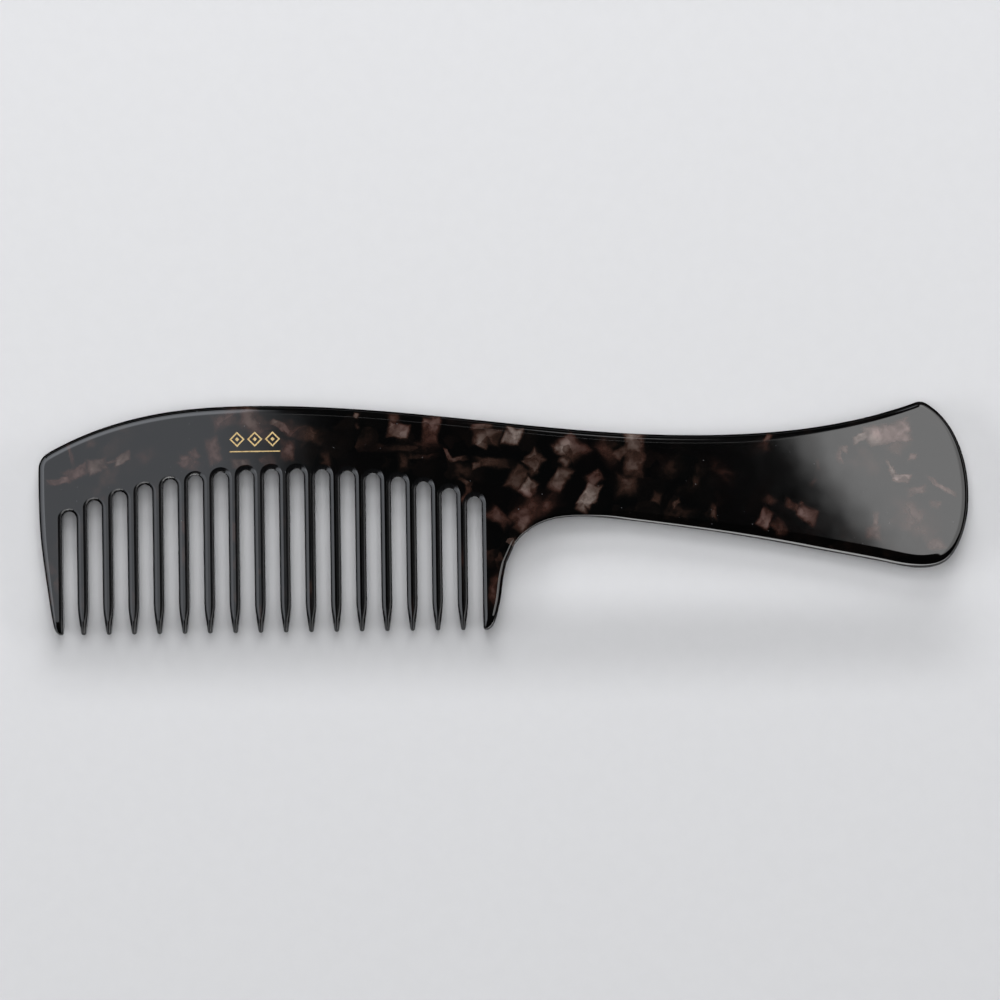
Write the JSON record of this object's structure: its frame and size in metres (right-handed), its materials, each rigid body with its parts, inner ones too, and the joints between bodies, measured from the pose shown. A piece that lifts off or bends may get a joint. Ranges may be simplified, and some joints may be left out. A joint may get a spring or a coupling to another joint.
{
  "type": "hair comb",
  "caption": "Handled rake comb of polished dark tortoiseshell acetate: arched row of wide-set tapered teeth between two guards, flared paddle handle, small gold foil ornament.",
  "frame": {"origin": "centre of the comb's outline in plan, on the back face it rests on", "axes": "+X from the nose to the end of the handle, +Y from the tooth tips to the spine, +Z out of the front face with the foil ornament"},
  "size_m": [0.2204, 0.0538, 0.0049],
  "materials": {
    "acetate": "hand-polished black and brown tortoiseshell cellulose acetate",
    "gold_foil": "hot-stamped gold foil"
  },
  "bodies": {
    "root": {"spine": "acetate", "handle": "acetate", "nose_guard": "acetate", "heel_guard": "acetate", "tooth_01": "acetate", "tooth_02": "acetate", "tooth_03": "acetate", "tooth_04": "acetate", "tooth_05": "acetate", "tooth_06": "acetate", "tooth_07": "acetate", "tooth_08": "acetate", "tooth_09": "acetate", "tooth_10": "acetate", "tooth_11": "acetate", "tooth_12": "acetate", "tooth_13": "acetate", "tooth_14": "acetate", "tooth_15": "acetate", "tooth_16": "acetate", "foil_mark": "gold_foil"}
  },
  "joints": []
}
